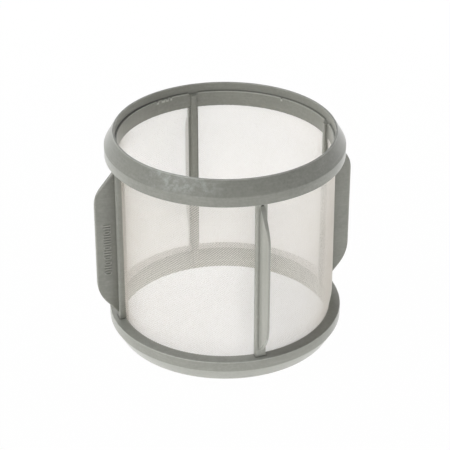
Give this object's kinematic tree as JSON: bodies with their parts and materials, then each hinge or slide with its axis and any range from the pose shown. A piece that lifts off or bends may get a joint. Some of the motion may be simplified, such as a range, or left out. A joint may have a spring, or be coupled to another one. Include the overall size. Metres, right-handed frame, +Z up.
{
  "type": "dishwasher filter",
  "caption": "Cylindrical fine filter for a dishwasher: a moulded grey plastic frame with flanged rings, ribs and radial wings round a tube of fine woven mesh.",
  "frame": {"origin": "centre of the foot of the lower ring, on the surface that the filter stands on", "axes": "+Z up along the filter's axis, towards the upper ring; +X and +Y each through a rib and its wing"},
  "size_m": [0.1132, 0.1132, 0.0928],
  "materials": {
    "frame_plastic": "satin grey polypropylene, lightly scuffed",
    "screen_mesh": "fine woven off-white monofilament"
  },
  "bodies": {
    "root": {"frame": "frame_plastic", "screen": "screen_mesh"}
  },
  "joints": []
}
